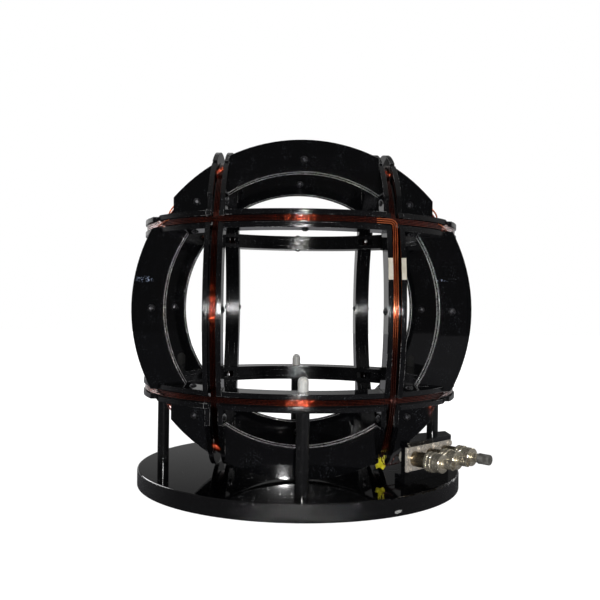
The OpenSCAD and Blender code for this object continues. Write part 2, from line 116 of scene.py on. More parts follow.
def finish_paint(paint, **sockets):
    """Sets the shader's sockets, named with underscores for their spaces."""
    shader = paint.node_tree.nodes["Principled BSDF"]
    for key, value in sockets.items():
        socket = shader.inputs[key.replace("_", " ")]
        if isinstance(value, Signal):
            paint.node_tree.links.new(value.output, socket)
        else:
            socket.default_value = value
    return paint


def polished_acrylic(name, wipe, scuffs_and_highlights=()):
    """Cast sheet with its factory polish, wiped along one direction and lightly dusty. The dust
    specks are tinted bluish as a painted sheen, and any scuffs carry a painted bluish highlight.
    """
    paint, place = start_paint(name)
    smear = place.stretched(wipe).noise(26.0, 4.0, 0.6).ramp(0.42, 0.75)
    dust_and_sheen_specks = place.noise(1500.0, 1.0).ramp(0.69, 0.73) * place.noise(60.0).ramp(0.45, 0.7)
    scratches = place.stretched((wipe[1], wipe[0], wipe[2])).noise(420.0, 1.0).ramp(0.71, 0.74)
    # The dust specks are real dust, tinted bluish as a painted sheen.
    colour = (0.5 * dust_and_sheen_specks).mix((0.0022, 0.0023, 0.0028, 1), (0.13, 0.145, 0.17, 1))
    # Each scuff is whitened wear, coloured bluish as a painted highlight.
    for centre, spread in scuffs_and_highlights:
        apart = place.node("ShaderNodeVectorMath", {"operation": "SUBTRACT"},
                           {0: place, 1: centre}).stretched(spread)
        reach = apart.node("ShaderNodeVectorMath", {"operation": "LENGTH"}, {0: apart}, "Value")
        scuff_and_highlight = (1.0 - reach.ramp(0.4, 1.0)) * place.noise(650.0, 3.0).ramp(0.5, 0.66)
        colour = scuff_and_highlight.mix(colour, (0.3, 0.36, 0.5, 1))
    roughness = 0.022 + 0.018 * smear + 0.12 * scratches + 0.3 * dust_and_sheen_specks
    wave = place.noise(11.0, 1.0).bump(0.05, 0.0006)
    return finish_paint(paint, Base_Color=colour, Roughness=roughness, Normal=wave,
                        Coat_Weight=0.02 + 0.04 * smear, Coat_Roughness=0.12)


def cut_acrylic(name, along):
    """Sawn edge of the same sheet, with fine lines and grain that run along the rim."""
    paint, place = start_paint(name)
    lines = place.stretched(along).noise(900.0, 2.0, 0.6)
    patches = place.noise(35.0, 3.0).ramp(0.35, 0.7)
    nicks = place.noise(800.0, 2.0).ramp(0.66, 0.72)
    colour = (0.6 * patches).mix((0.0025, 0.0025, 0.003, 1), (0.006, 0.006, 0.007, 1))
    colour = (0.4 * nicks).mix(colour, (0.1, 0.105, 0.115, 1))
    roughness = 0.08 + 0.03 * patches + 0.05 * lines + 0.1 * nicks
    grain = place.noise(500.0, 3.0)
    return finish_paint(paint, Base_Color=colour, Roughness=roughness,
                        Normal=(lines + 0.6 * grain).bump(0.7, 0.00025))


def copy_of(*nodes):
    """The CAD meshes of these nodes, merged into closed shells with whole flat faces."""
    shell = bmesh.new()
    for name in nodes:
        shell.from_mesh(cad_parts[name].data)
    bmesh.ops.remove_doubles(shell, verts=shell.verts, dist=0.002 * MM)
    bmesh.ops.dissolve_limit(shell, angle_limit=math.radians(0.4), verts=shell.verts,
                             edges=shell.edges)
    return shell


def break_edges(shell, width, least=40):
    """Rounds every edge that turns by more than the angle, as a scraper or file would."""
    sharp = [edge for edge in shell.edges
             if len(edge.link_faces) == 2 and edge.calc_face_angle() > math.radians(least)]
    made = bmesh.ops.bevel(shell, geom=sharp, offset=width, offset_type="OFFSET",
                           affect="EDGES", segments=2, profile=0.5, material=-1,
                           clamp_overlap=False)
    return made["faces"]


def shade(shell, angle=40):
    """Smooth shading between faces, with a crease where they turn by more than the angle."""
    for face in shell.faces:
        face.smooth = True
    for edge in shell.edges:
        turned = len(edge.link_faces) == 2 and edge.calc_face_angle() > math.radians(angle)
        edge.smooth = not turned


def add_piece(name, shell, paints, body="frame", stands_for=()):
    """Makes the shell an object that rides on a body and stands for CAD nodes."""
    mesh = bpy.data.meshes.new(name)
    shell.to_mesh(mesh)
    shell.free()
    for paint in paints:
        mesh.materials.append(paint)
    piece = bpy.data.objects.new(name, mesh)
    bpy.context.scene.collection.objects.link(piece)
    even = piece.modifiers.new("Even shading", "WEIGHTED_NORMAL")
    even.keep_sharp = True
    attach(piece, body)
    if stands_for:
        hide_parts(*stands_for)
    return piece


def turned_side():
    """The side of a turned acrylic disc: satin, with fine lines round it and one chip."""
    paint, place = start_paint("turned acrylic side")
    lines = place.stretched((0.05, 0.05, 1.0)).noise(2600.0, 2.0, 0.7)
    dust = place.noise(240.0, 3.0).ramp(0.6, 0.8)
    apart = place.node("ShaderNodeVectorMath", {"operation": "SUBTRACT"},
                       {0: place, 1: (0.0918, -0.156, 0.0046)}).stretched((0.55, 0.55, 1.3))
    middle = apart.node("ShaderNodeVectorMath", {"operation": "LENGTH"}, {0: apart}, "Value")
    ragged = middle + 0.0035 * place.noise(420.0, 3.0)
    chip = (1.0 - ragged.ramp(0.0033, 0.0044)) * place.noise(900.0, 2.0).ramp(0.3, 0.5)
    dark = (dust * 0.5).mix((0.005, 0.005, 0.0055, 1), (0.02, 0.02, 0.02, 1))
    colour = chip.mix(dark, (0.62, 0.62, 0.6, 1))
    roughness = 0.13 + 0.04 * lines + 0.08 * dust + 0.3 * chip
    return finish_paint(paint, Base_Color=colour, Roughness=roughness,
                        Normal=(lines - chip).bump(0.8, 0.0004))


sheet_polish = polished_acrylic("polished black acrylic, lying", (1.0, 0.16, 1.0))
side_turned = turned_side()
base = copy_of("base_plate")
break_edges(base, 0.5 * MM, 60)
shade(base)
base_top_z = 18 * MM
for face in base.faces:
    if face.normal.z < 0.7 or face.calc_center_median().z < base_top_z / 2:
        face.material_index = 1
add_piece("base", base, [sheet_polish, side_turned],
          stands_for=["base_plate"])

# Posts: four rods of black acrylic, drilled and tapped at both ends. Countersunk screws come
# up through the base, and studs go down through the lower Z coil.


def rod_acrylic():
    """Extruded rod: glossy, with faint draw lines along it."""
    paint, place = start_paint("black acrylic rod")
    lines = place.stretched((1.0, 1.0, 0.012)).noise(900.0, 2.0, 0.6)
    dust = place.noise(170.0, 3.0).ramp(0.55, 0.8)
    colour = (dust * 0.35).mix((0.007, 0.007, 0.0075, 1), (0.06, 0.06, 0.062, 1))
    return finish_paint(paint, Base_Color=colour, Roughness=0.09 + 0.14 * lines + 0.12 * dust,
                        Normal=lines.bump(0.12, 0.0001))


rod = rod_acrylic()
for place_name in ("front", "right", "rear", "left"):
    post = copy_of("post_" + place_name)
    break_edges(post, 0.3 * MM)
    shade(post)
    add_piece("post_rod_" + place_name, post, [rod],
              stands_for=["post_" + place_name])


def bare_steel(name, colour, grain):
    """Machined steel with a little tarnish in patches."""
    paint, place = start_paint(name)
    patches = place.noise(grain, 3.0, 0.6)
    tone = patches.mix(colour, tuple(0.55 * part for part in colour[:3]) + (1,))
    return finish_paint(paint, Base_Color=tone, Roughness=0.2 + 0.22 * patches,
                        Metallic=1.0, Normal=place.noise(1900.0, 2.0).bump(0.08, 0.00005))


steel = bare_steel("stainless steel", (0.56, 0.56, 0.58, 1), 220.0)
fasteners = copy_of("post_studs", "post_base_screws")
shade(fasteners)
add_piece("studs_and_base_screws", fasteners, [steel],
          stands_for=["post_studs", "post_base_screws"])

# Caps: moulded nylon cap nuts on the studs. They press the lower Z coil down on its posts.


def nylon_paint():
    """Moulded natural nylon: milky, with a soft surface and a trace of handling."""
    paint, place = start_paint("white nylon")
    handled = place.noise(260.0, 4.0).ramp(0.5, 0.85)
    colour = (handled * 0.5).mix((0.74, 0.735, 0.7, 1), (0.58, 0.56, 0.5, 1))
    return finish_paint(paint, Base_Color=colour, Roughness=0.34 + 0.2 * handled,
                        Subsurface_Weight=0.25, Subsurface_Radius=(0.9, 0.85, 0.75),
                        Subsurface_Scale=0.002,
                        Normal=place.noise(900.0, 2.0).bump(0.1, 0.0001))


caps = copy_of("post_caps")
break_edges(caps, 0.35 * MM, 60)
shade(caps)
add_piece("nylon_caps", caps, [nylon_paint()], stands_for=["post_caps"])

# Ring formers: six spools of black acrylic on three axes, halved into each other where they
# cross. Each has two 5 mm plates with polished faces and sawn edges, screwed to spacer arcs.
CENTRE = Vector((0, 0, 195 * MM))
AXES = {
    "x": Matrix(((0, 0, 1, 0), (1, 0, 0, 0), (0, 1, 0, 0), (0, 0, 0, 1))),
    "y": Matrix(((1, 0, 0, 0), (0, 0, -1, 0), (0, 1, 0, 0), (0, 0, 0, 1))),
    "z": Matrix.Identity(4),
}
COILS = (
    ("x_left", "x", -1), ("x_right", "x", 1), ("y_front", "y", 1), ("y_rear", "y", -1),
    ("z_lower", "z", -1), ("z_upper", "z", 1),
)
COIL_MIDDLE = 86.25 * MM
BORE_RADIUS = 142 * MM
PLATE_FACE, SAWN_EDGE, ROUTED_BORE, WORN_CORNER_AND_HIGHLIGHT = range(4)
face_paints = {
    "x": polished_acrylic("polished black acrylic, facing sideways", (1.0, 0.2, 1.0)),
    # The forward-facing sheet has two scuffed patches beside the bore, coloured bluish as a painted
    # highlight.
    "y": polished_acrylic("polished black acrylic, facing forwards", (0.2, 1.0, 1.0),
                          (((-0.1618, -0.095, 0.2246), (90, 90, 260)),
                           ((0.1438, -0.095, 0.2271), (110, 110, 700)))),
    "z": sheet_polish,
}
edge_paints = {
    "x": cut_acrylic("sawn acrylic edge, round X", (1.0, 0.08, 0.08)),
    "y": cut_acrylic("sawn acrylic edge, round Y", (0.08, 1.0, 0.08)),
    "z": cut_acrylic("sawn acrylic edge, round Z", (0.08, 0.08, 1.0)),
}


def routed_bore():
    """The same sheet where the router went round the bore: frosted chatter marks that glint."""
    paint, place = start_paint("routed acrylic bore")
    chatter = place.noise(1100.0, 3.0, 0.7)
    frost = place.noise(520.0, 2.0).ramp(0.4, 0.62)
    colour = frost.mix((0.02, 0.02, 0.022, 1), (0.2, 0.2, 0.21, 1))
    return finish_paint(paint, Base_Color=colour, Roughness=0.24 + 0.2 * frost,
                        Normal=chatter.bump(0.9, 0.0009))


def worn_corner_with_highlight():
    """A scraped corner of the sheet, whitened in patches: partly wear where it has been knocked and
    handled, partly a painted highlight along the edge.
    """
    paint, place = start_paint("worn acrylic corner, painted highlight")
    worn = place.noise(24.0, 3.0, 0.6).ramp(0.53, 0.66) * place.noise(700.0, 2.0).ramp(0.35, 0.6)
    # The whitening is partly wear and partly a painted highlight where the edge catches the light.
    colour = worn.mix((0.003, 0.003, 0.0035, 1), (0.3, 0.3, 0.3, 1))
    return finish_paint(paint, Base_Color=colour, Roughness=0.12 + 0.35 * worn,
                        Normal=place.noise(1500.0, 2.0).bump(0.3, 0.0002))


bore_paint = routed_bore()
corner_paint_with_highlight = worn_corner_with_highlight()
for coil, axis, side in COILS:
    across = AXES[axis].to_3x3() @ Vector((0, 0, 1))
    for layer in ("outer", "inner"):
        node = f"{coil}_flange_{layer}"
        plate = copy_of(node)
        for face in plate.faces:
            arm = face.calc_center_median() - CENTRE
            arm -= across * arm.dot(across)
            in_bore = axis == "y" and arm.length < BORE_RADIUS + 0.5 * MM
            face.material_index = ROUTED_BORE if in_bore else SAWN_EDGE
            if abs(face.normal.dot(across)) > 0.99:
                face.material_index = PLATE_FACE
        # The rounded corners take the whitened paint, partly wear and partly a painted edge
        # highlight.
        for face in break_edges(plate, 0.3 * MM, 30):
            face.material_index = WORN_CORNER_AND_HIGHLIGHT
        shade(plate, 35)
        paints = [face_paints[axis], edge_paints[axis], bore_paint, corner_paint_with_highlight]
        add_piece(f"{coil}_plate_{layer}", plate, paints, stands_for=[node])
    arcs = copy_of(f"{coil}_spacers")
    shade(arcs, 35)
    add_piece(f"{coil}_spacer_arcs", arcs, [edge_paints[axis]],
              stands_for=[f"{coil}_spacers"])

# Former screws: button heads with hexagon sockets, in matching barrel nuts, blackened and
# worn bright where keys and hands have rubbed them.


def worn_screw_paint():
    """Blackened steel, with the oxide worn off in places."""
    paint, place = start_paint("blackened screw steel")
    worn = place.noise(420.0, 4.0, 0.65).ramp(0.42, 0.72)
    colour = worn.mix((0.035, 0.035, 0.04, 1), (0.3, 0.3, 0.31, 1))
    return finish_paint(paint, Base_Color=colour, Roughness=0.36 - 0.1 * worn, Metallic=0.9,
                        Normal=place.noise(2600.0, 2.0).bump(0.15, 0.00006))


screw_paint = worn_screw_paint()
for coil, axis, side in COILS:
    screws = copy_of(f"{coil}_screws")
    shade(screws, 30)
    add_piece(f"{coil}_button_screws", screws, [screw_paint],
              stands_for=[f"{coil}_screws"])

# Windings: enamelled copper wire wound in two layers on the spacer arcs of each former. The
# X, Y and Z coils have different radii, so the wires pass over each other in the corners.
WIRE = 1.34 * MM
WIRE_PITCH = 1.45 * MM
WINDING_RADIUS = {"x": 163.0 * MM, "y": 167.9 * MM, "z": 172.8 * MM}
LAYER_STEP = 1.2 * MM
STEPS_PER_TURN = 120


def enamelled_copper():
    """Copper under dark red enamel, a little different from turn to turn."""
    paint, place = start_paint("enamelled copper")
    strands = place.noise(700.0, 1.0).ramp(0.3, 0.7)
    age = place.noise(22.0, 4.0, 0.6).ramp(0.35, 0.75)
    copper = strands.mix((0.15, 0.017, 0.009, 1), (0.42, 0.07, 0.028, 1))
    colour = (age * 0.6).mix(copper, (0.06, 0.009, 0.006, 1))
    return finish_paint(paint, Base_Color=colour, Roughness=0.15 + 0.07 * age, Metallic=1.0,
                        Coat_Weight=1.0, Coat_Roughness=0.06,
                        Normal=place.noise(150.0, 2.0).bump(1.0, 0.0007))


def wind(radius, turns, waver, sides=8):
    """One layer of wire: its round section is carried round the axis and along it."""
    shell = bmesh.new()
    low = -turns * WIRE_PITCH / 2
    stood = Matrix.Translation((radius, 0, low)) @ Matrix.Rotation(math.radians(90), 4, "X")
    section = bmesh.ops.create_circle(shell, radius=WIRE / 2, segments=sides, matrix=stood)
    edges = list({edge for vert in section["verts"] for edge in vert.link_edges})
    bmesh.ops.edgeloop_fill(shell, edges=edges)
    swept = bmesh.ops.spin(shell, geom=edges, cent=(0, 0, 0), axis=(0, 0, 1),
                           dvec=(0, 0, WIRE_PITCH / STEPS_PER_TURN),
                           angle=turns * math.tau, steps=turns * STEPS_PER_TURN,
                           use_merge=False)
    far = [item for item in swept["geom_last"] if isinstance(item, bmesh.types.BMEdge)]
    bmesh.ops.edgeloop_fill(shell, edges=far)
    for vert in shell.verts:
        share = (math.atan2(vert.co.y, vert.co.x) / math.tau) % 1.0
        turn_number = round((vert.co.z - low) / WIRE_PITCH - share)
        along = turn_number + share
        lift = 0.16 * MM * noise.noise(Vector((along * 7.0, waver, turn_number * 3.1)))
        drift = 0.09 * MM * noise.noise(Vector((along * 5.0, waver + 40, turn_number * 1.7)))
        out = Vector((vert.co.x, vert.co.y, 0)).normalized()
        vert.co += out * lift
        vert.co.z += drift
    return shell


def join(shell, other, matrix=None):
    """Adds the other shell's mesh to this one, moved by the matrix."""
    carrier = bpy.data.meshes.new("carrier")
    if matrix is not None:
        bmesh.ops.transform(other, matrix=matrix, verts=other.verts)
    other.to_mesh(carrier)
    other.free()
    shell.from_mesh(carrier)
    bpy.data.meshes.remove(carrier)


copper_paint = enamelled_copper()
for number, (coil, axis, side) in enumerate(COILS):
    winding = wind(WINDING_RADIUS[axis], 4, 10.0 * number)
    under = wind(WINDING_RADIUS[axis] - LAYER_STEP, 3 if axis == "x" else 2, 5.0 + number)
    join(winding, under)
    bmesh.ops.recalc_face_normals(winding, faces=winding.faces)
    moved = Matrix.Translation(CENTRE) @ AXES[axis]
    moved = moved @ Matrix.Translation((0, 0, side * COIL_MIDDLE))
    bmesh.ops.transform(winding, matrix=moved, verts=winding.verts)
    shade(winding, 70)
    add_piece(f"{coil}_copper", winding, [copper_paint],
              stands_for=[f"{coil}_winding"])

# Connector panel: an upright strip of black acrylic on a foot block, closed above by a plate
# that reaches back to the right X coil and is notched round the front Y coil's rim.
PANEL_TURN = math.radians(-47)
PANEL_OUT = Vector((math.cos(PANEL_TURN), math.sin(PANEL_TURN), 0))
for node, name in (("connector_panel", "panel_strip"), ("panel_top", "panel_lid"),
                   ("panel_foot", "panel_foot_block")):
    part = copy_of(node)
    flat = PANEL_OUT if node == "connector_panel" else Vector((0, 0, 1))
    for face in part.faces:
        face.material_index = 0 if abs(face.normal.dot(flat)) > 0.99 else 1
    break_edges(part, 0.25 * MM, 30)
    shade(part, 35)
    add_piece(name, part, [sheet_polish, edge_paints["z"]],
              stands_for=[node])
foot_screws = copy_of("foot_screws")
shade(foot_screws)
add_piece("foot_block_screws", foot_screws, [steel], stands_for=["foot_screws"])

# Receptacles: three square-flange coaxial sockets of plated brass, screwed to the panel. The
# barrel in front carries the coupling thread, and a solder cup stands out behind.


def nickel_plate(name, tint, metallic):
    """Nickel on turned brass: warm, with light tarnish and fine turning marks."""
    paint, place = start_paint(name)
    tarnish = place.noise(130.0, 4.0, 0.6).ramp(0.35, 0.8)
    marks = place.noise(2400.0, 2.0, 0.6)
    dull = tuple(part * 0.5 for part in tint[:3]) + (1,)
    colour = (tarnish * 0.7).mix(tint, dull)
    return finish_paint(paint, Base_Color=colour, Metallic=metallic,
                        Roughness=0.2 + 0.16 * tarnish + 0.06 * marks,
                        Normal=marks.bump(0.08, 0.00006))


JACKS = (0, 1, 2)
JACK_PITCH = 26 * MM
JACK_HEIGHT = 43 * MM
FLANGE_REACH = 149.8413 * MM
MIDDLE_JACK_ASIDE = 47.5 * MM


def at_jack(number):
    """The place of a connector: its Z runs out along the axis from the flange's face."""
    aside = MIDDLE_JACK_ASIDE + (number - 1) * JACK_PITCH
    spot = Matrix.Translation((FLANGE_REACH, aside, JACK_HEIGHT))
    return Matrix.Rotation(PANEL_TURN, 4, "Z") @ spot @ Matrix.Rotation(math.radians(90), 4, "Y")


def lathe(outline, segments=64):
    """A closed part, turned about Z from an outline of (radius, height) in mm.

    The outline starts and ends on the axis, or it goes round a bore and is closed here.
    """
    shell = bmesh.new()
    verts = [shell.verts.new((r * MM, 0, z * MM)) for r, z in outline]
    edges = [shell.edges.new(pair) for pair in zip(verts, verts[1:])]
    if outline[0][0] > 0:
        edges.append(shell.edges.new((verts[-1], verts[0])))
    bmesh.ops.spin(shell, geom=verts + edges, cent=(0, 0, 0), axis=(0, 0, 1),
                   angle=math.tau, steps=segments, use_merge=True)
    bmesh.ops.remove_doubles(shell, verts=shell.verts, dist=0.002 * MM)
    bmesh.ops.recalc_face_normals(shell, faces=shell.faces)
    return shell


def add_thread(shell, minor, major, pitch, start, turns, segments=40):
    """A helical ridge of V section, wound round a cylinder of the minor radius."""
    corners = ((minor - 0.15, 0.08), (major, pitch / 2 - 0.04), (major, pitch / 2 + 0.04),
               (minor - 0.15, pitch - 0.08))
    verts = [shell.verts.new((r * MM, 0, (start + z) * MM)) for r, z in corners]
    edges = [shell.edges.new((verts[i], verts[(i + 1) % 4])) for i in range(4)]
    bmesh.ops.edgeloop_fill(shell, edges=edges)
    swept = bmesh.ops.spin(shell, geom=edges, cent=(0, 0, 0), axis=(0, 0, 1),
                           dvec=(0, 0, pitch / segments * MM), angle=turns * math.tau,
                           steps=int(turns * segments), use_merge=False)
    far = [item for item in swept["geom_last"] if isinstance(item, bmesh.types.BMEdge)]
    bmesh.ops.edgeloop_fill(shell, edges=far)


nickel = nickel_plate("nickel plate", (0.88, 0.81, 0.66, 1), 0.82)
# The flange and its screws get a paler, less metallic copy of the nickel, painted as lit.
flange_nickel_painted_lit = nickel_plate("nickel flange, painted lit", (0.95, 0.88, 0.78, 1), 0.45)
# A darker copy of the nickel, for the barrel's thread between the flange and the nut, is painted
# shade.
thread_nickel_painted_shade = nickel_plate("thread nickel, painted shade", (0.34, 0.28, 0.19, 1), 0.9)
barrel_radius = 8.2 * MM
receptacles = copy_of("receptacles")
break_edges(receptacles, 0.3 * MM, 50)
# Faces of the barrel in front of the flange take the darker nickel as painted shade.
for face in receptacles.faces:
    for number in JACKS:
        spot = at_jack(number).inverted() @ face.calc_center_median()
        if math.hypot(spot.x, spot.y) < barrel_radius and spot.z > 0.2 * MM:
            face.material_index = 1
for number in JACKS:
    threads = bmesh.new()
    add_thread(threads, 7.4, 7.9, 1.06, 0.8, 14)
    bmesh.ops.recalc_face_normals(threads, faces=threads.faces)
    # The thread ridges take the same painted-shade nickel.
    for face in threads.faces:
        face.material_index = 1
    join(receptacles, threads, at_jack(number))
shade(receptacles, 30)
add_piece("coaxial_receptacles", receptacles, [flange_nickel_painted_lit, thread_nickel_painted_shade],
          stands_for=["receptacles"])


def press_socket(shell, head, across, depth):
    """A hexagon socket in a round, flat screw head, and a small dome round it."""
    centre = head.calc_center_median()
    axis = head.normal.copy()
    bmesh.ops.inset_region(shell, faces=[head], thickness=0.7 * MM, depth=0.45 * MM)
    bmesh.ops.inset_region(shell, faces=[head], thickness=0.35 * MM, depth=0.05 * MM)
    aside = axis.orthogonal().normalized()
    for vert in head.verts:
        arm = vert.co - centre
        arm -= axis * arm.dot(axis)
        angle = math.atan2(aside.cross(arm).dot(axis), aside.dot(arm))
        corner = (angle % (math.pi / 3)) - math.pi / 6
        wanted = across / 2 / math.cos(corner)
        vert.co += arm.normalized() * (wanted - arm.length)
    floor_of_it = bmesh.ops.extrude_discrete_faces(shell, faces=[head])["faces"][0]
    bmesh.ops.translate(shell, verts=floor_of_it.verts, vec=-axis * depth)


# The flange screws share the paler nickel that is painted as lit.
flange_screws = copy_of("receptacle_screws")
ends = [face for face in flange_screws.faces if face.normal.dot(PANEL_OUT) > 0.99]
least_head = 15 * MM * MM
for head in [face for face in ends if face.calc_area() > least_head]:
    press_socket(flange_screws, head, 1.9 * MM, 0.9 * MM)
bmesh.ops.recalc_face_normals(flange_screws, faces=flange_screws.faces)
shade(flange_screws, 30)
add_piece("flange_screws", flange_screws, [flange_nickel_painted_lit],
          stands_for=["receptacle_screws"])


def plain_paint(name, colour, roughness, metallic=0.0):
    """A clean moulded or plated finish with a slight unevenness."""
    paint, place = start_paint(name)
    uneven = place.noise(420.0, 3.0).ramp(0.3, 0.8)
    darker = tuple(part * 0.75 for part in colour[:3]) + (1,)
    return finish_paint(paint, Base_Color=uneven.mix(colour, darker), Metallic=metallic,
                        Roughness=roughness + 0.15 * uneven)


ptfe_paint = plain_paint("white fluoropolymer", (0.8, 0.8, 0.78, 1), 0.4)
gold_paint = plain_paint("gold plate", (0.83, 0.58, 0.22, 1), 0.18, 1.0)
insulators = copy_of("receptacle_insulators")
shade(insulators)
add_piece("receptacle_beads", insulators, [ptfe_paint],
          stands_for=["receptacle_insulators"])
contacts = copy_of("receptacle_contacts")
shade(contacts)
add_piece("receptacle_pins", contacts, [gold_paint],
          stands_for=["receptacle_contacts"])

# Adapters: turned and plated barrels, each held by a knurled coupling nut that runs on the
# receptacle's thread. In front of the barrel is a bayonet jack with two lugs.


def knurled_ring(shell, low, high, inner, outer, teeth=44):
    """A band of straight knurling: every other point of a circle is pulled in."""
    stood = Matrix.Translation((0, 0, low * MM))
    ring = bmesh.ops.create_circle(shell, cap_ends=True, radius=outer * MM,
                                   segments=2 * teeth, matrix=stood)
    for number, vert in enumerate(ring["verts"]):
        if number % 2:
            vert.co.x *= inner / outer
            vert.co.y *= inner / outer
    face = ring["verts"][0].link_faces[0]
    edge_in = (high - low) * 0.12
    step = bmesh.ops.extrude_face_region(shell, geom=[face])
    raised = [item for item in step["geom"] if isinstance(item, bmesh.types.BMVert)]
    bmesh.ops.translate(shell, verts=raised, vec=(0, 0, (high - low) * MM))
    top = [item for item in step["geom"] if isinstance(item, bmesh.types.BMFace)]
    for cap in top + [face]:
        bmesh.ops.inset_region(shell, faces=[cap], thickness=0.25 * MM, depth=0.0)
        cap_z = cap.calc_center_median().z
        outward = 1 if cap_z > (low + high) / 2 * MM else -1
        bmesh.ops.translate(shell, verts=cap.verts, vec=(0, 0, outward * edge_in * MM))


bayonet_lug_turn = math.radians(45)
for number in JACKS:
    label = number + 1
    place = at_jack(number)
    barrel = lathe((
        (3.6, 14.2), (4.2, 14.2), (4.2, 22.2), (7.2, 22.4), (7.6, 22.7), (7.6, 23.8),
        (7.3, 24.0), (6.4, 24.0), (6.4, 26.3), (8.9, 26.3), (9.5, 26.9), (9.5, 29.2),
        (9.3, 29.4), (9.3, 29.9), (9.5, 30.1), (9.5, 35.1), (9.1, 35.7), (8.4, 36.0),
        (4.8, 36.0), (4.8, 36.6), (4.65, 36.8), (4.65, 46.7), (4.8, 46.9), (4.8, 47.3),
        (4.6, 47.5), (4.2, 47.5), (4.1, 47.3), (4.1, 36.4), (3.6, 36.2),
    ), 72)
    for turned in (bayonet_lug_turn, bayonet_lug_turn + math.pi):
        lug = lathe(((0.0, 4.2), (1.0, 4.2), (1.0, 6.1), (0.8, 6.35), (0.0, 6.4)), 20)
        out = Matrix.Translation((0, 0, 42.3 * MM)) @ Matrix.Rotation(turned, 4, "Z")
        join(barrel, lug, out @ Matrix.Rotation(math.radians(90), 4, "Y"))
    bmesh.ops.transform(barrel, matrix=place, verts=barrel.verts)
    shade(barrel, 30)
    add_piece(f"adapter_barrel_{label}", barrel, [nickel], f"adapter_{label}",
              [f"adapter_{label}"])

    nut = lathe((
        (8.0, 17.0), (9.2, 17.0), (9.6, 17.3), (9.6, 25.7), (9.2, 26.0), (6.7, 26.0),
        (6.6, 25.9), (6.6, 24.3), (6.8, 24.2), (8.0, 24.2),
    ), 72)
    knurled_ring(nut, 17.9, 20.5, 9.95, 10.3)
    knurled_ring(nut, 22.5, 25.1, 9.95, 10.3)
    bmesh.ops.transform(nut, matrix=place, verts=nut.verts)
    bmesh.ops.recalc_face_normals(nut, faces=nut.faces)
    shade(nut, 25)
    add_piece(f"knurled_nut_{label}", nut, [nickel], f"coupling_nut_{label}",
              [f"coupling_nut_{label}"])

    core = copy_of(f"adapter_core_{label}")
    shade(core)
    axis_point = place @ Vector((0, 0, 0))
    along = (place.to_3x3() @ Vector((0, 0, 1))).normalized()
    pin_radius = 1.7 * MM
    for face in core.faces:
        offset = face.calc_center_median() - axis_point
        away = (offset - along * offset.dot(along)).length
        face.material_index = 1 if away < pin_radius else 0
    add_piece(f"adapter_centre_{label}", core, [ptfe_paint, gold_paint],
              f"adapter_{label}", [f"adapter_core_{label}"])

# Dust cap: a moulded grey cap pushed over the farthest bayonet jack, with a rolled lip at its
# mouth. It rides on its own body, so that it can be pulled off.


def cap_rubber():
    """Frosted grey polymer, paler where it has been handled."""
    paint, place = start_paint("frosted grey polymer")
    rubbed = place.noise(190.0, 4.0).ramp(0.35, 0.75)
    colour = rubbed.mix((0.11, 0.105, 0.095, 1), (0.27, 0.265, 0.245, 1))
    return finish_paint(paint, Base_Color=colour, Roughness=0.5 + 0.2 * rubbed,
                        Normal=place.noise(1600.0, 3.0).bump(0.2, 0.00008))


cap = lathe((
    (4.9, 43.7), (5.45, 43.7), (5.6, 43.9), (5.6, 45.2), (5.45, 45.4), (5.45, 55.7),
    (5.2, 56.3), (4.7, 56.6), (0.0, 56.7), (0.0, 55.1), (4.9, 55.1),
), 64)
bmesh.ops.transform(cap, matrix=at_jack(2), verts=cap.verts)
shade(cap, 40)
add_piece("grey_dust_cap", cap, [cap_rubber()], "dust_cap", ["dust_cap"])

# Leads: three enamelled wires from the upper Z coil. They run side by side down the right X
# coil's channel, through the tape, and on to the solder cups behind the panel. Loose strands
# of the windings show at the four front corners, where the coils cross.


def lead_way(number):
    """The route of one lead, in mm, beside the way that the CAD solid of the first follows."""
    def behind_cup(jack, back):
        return tuple((at_jack(jack) @ Vector((0, 0, (-16 - 5 - back) * MM)) / MM))

    lead_room = 0.6
    wire_room = 0.65
    middle = COIL_MIDDLE / MM

    def over_bundle(coil_radius):
        outside = coil_radius / MM + wire_room
        return math.sqrt(outside ** 2 - (middle - lead_room) ** 2) + lead_room

    rim = 174.1
    upper = 281.25
    on_winding = 164.25
    over_y = over_bundle(WINDING_RADIUS["y"])
    over_z = over_bundle(WINDING_RADIUS["z"])
    beside = (0, 1.9, -1.9)[number]
    along = middle + beside
    way = []
    for degrees, radius in ((-67, rim - 1.4), (-65.6, rim), (-64.2, rim), (-62.8, rim)):
        angle = math.radians(degrees)
        way.append((radius * math.cos(angle), radius * math.sin(angle), upper + beside))
    way += [(83.2 + 0.6 * beside, -153.2, upper - 0.4 + 0.8 * beside),
            (85.5 + beside, -152.6, upper - 2.4 + 0.4 * beside), (along, -over_z, 195 + 82.1)]
    meets = math.atan2(82.1, over_z) - math.acos(on_winding / math.hypot(over_z, 82.1))
    for step in range(7):
        angle = meets * (1 - step / 3)
        way.append((along, -on_winding * math.cos(angle), 195 + on_winding * math.sin(angle)))
    way += [(along, -over_z, 195 - 82.1), (along, -over_z, 195 - 90.4),
            (along, -90.4, 195 - over_y), (along, -82.1, 195 - over_y)]
    if number == 0:
        way += [(86.3, -77, 37.6), (87.5, -76.5, 34.2), (91, -77, 32.8), (96, -77.5, 34.5),
                (98.8, -76, 39), behind_cup(0, 3.5), behind_cup(0, 1.5), behind_cup(0, 0)]
    elif number == 1:
        way += [(88.2, -74.5, 38), (89.5, -73.5, 33.5), (96, -69, 31.5),
                (108, -58.5, 34), (114, -53.5, 39), behind_cup(1, 6), behind_cup(1, 2),
                behind_cup(1, 0)]
    else:
        way += [(84.2, -74.5, 38), (84.8, -73, 33), (90, -66, 30),
                (106, -54, 29.5), (122, -41.5, 32), (131, -35.5, 38), behind_cup(2, 6),
                behind_cup(2, 2), behind_cup(2, 0)]
    return way


